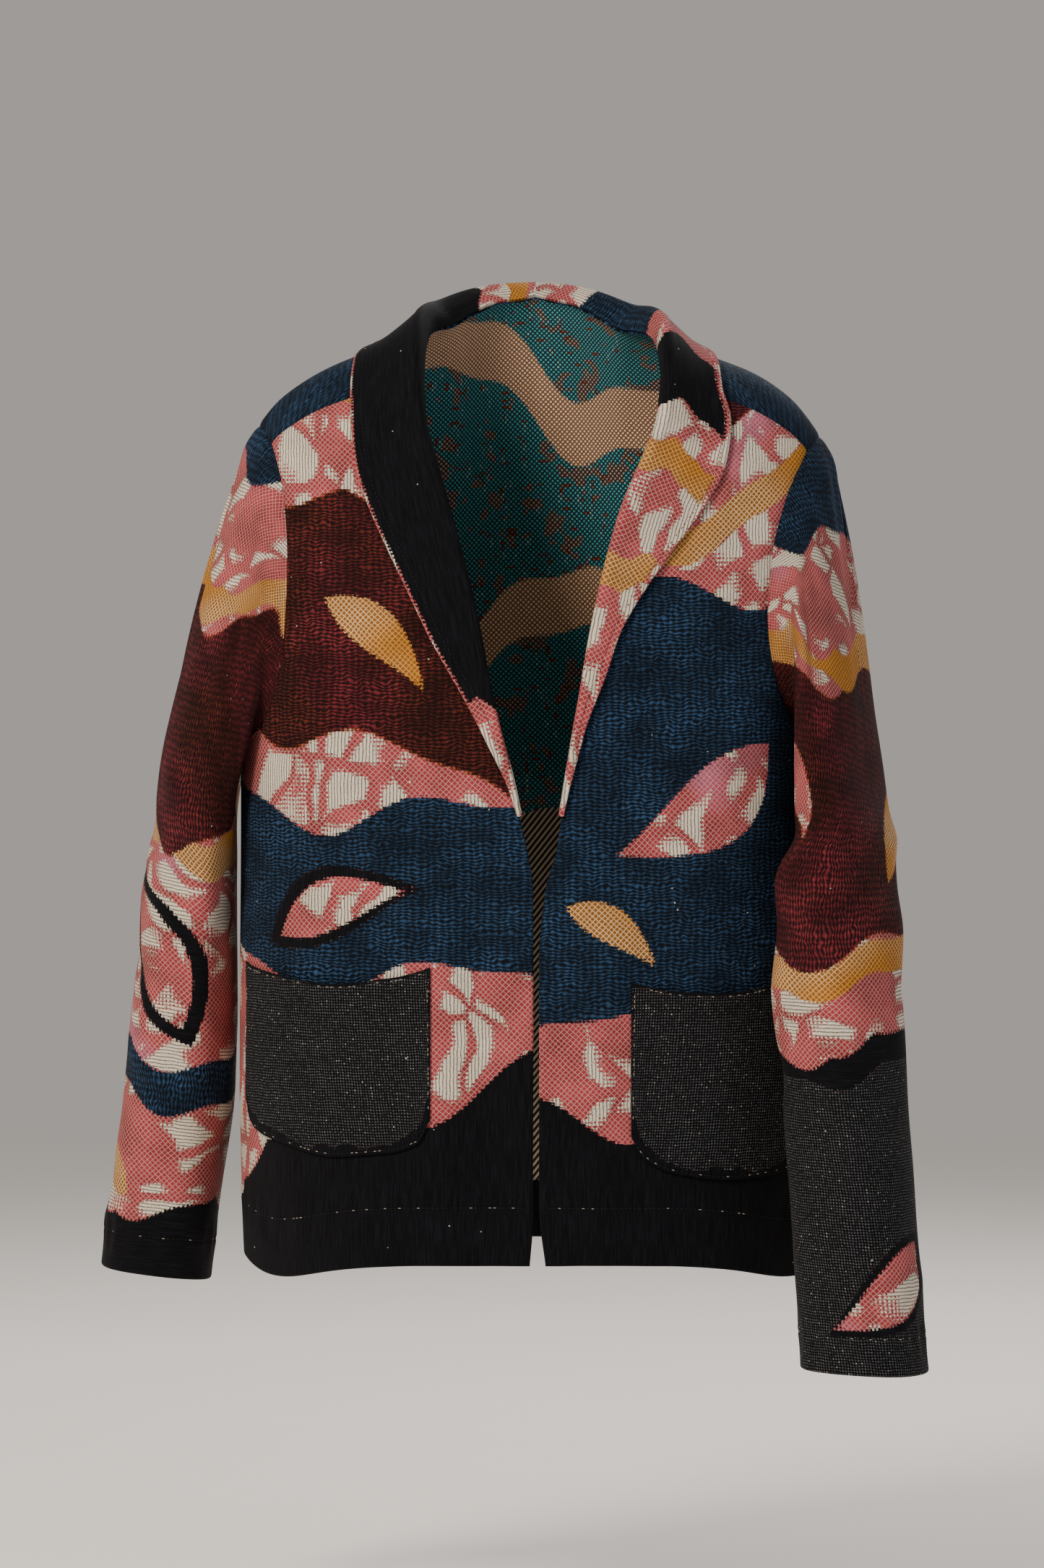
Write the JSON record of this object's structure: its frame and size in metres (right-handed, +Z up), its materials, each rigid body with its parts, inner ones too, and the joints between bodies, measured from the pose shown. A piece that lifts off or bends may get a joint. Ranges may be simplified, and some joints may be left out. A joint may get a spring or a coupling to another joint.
{
  "type": "jacquard jacket",
  "caption": "Open jacquard jacket, hollow as when worn, with a shawl collar, set-in sleeves and round-bottomed patch pockets.",
  "frame": {"origin": "midway between the side neck points, in the neck opening that a wearer's neck fills", "axes": "+Z up as worn, the front faces -Y, +X towards the wearer's left sleeve"},
  "size_m": [0.5887, 0.3136, 0.7678],
  "materials": {
    "jacquard_navy": "matte woven jacquard, navy, oxblood and black",
    "jacquard_coral": "matte woven jacquard, coral, cream, ochre and black",
    "jacquard_charcoal": "matte woven jacquard, charcoal with pale dots"
  },
  "bodies": {
    "root": {"back": "jacquard_navy", "front_right": "jacquard_navy", "front_left": "jacquard_navy", "sleeve_right": "jacquard_coral", "sleeve_left": "jacquard_coral", "collar_right": "jacquard_coral", "collar_left": "jacquard_coral", "pocket_right": "jacquard_charcoal", "pocket_left": "jacquard_charcoal"}
  },
  "joints": []
}
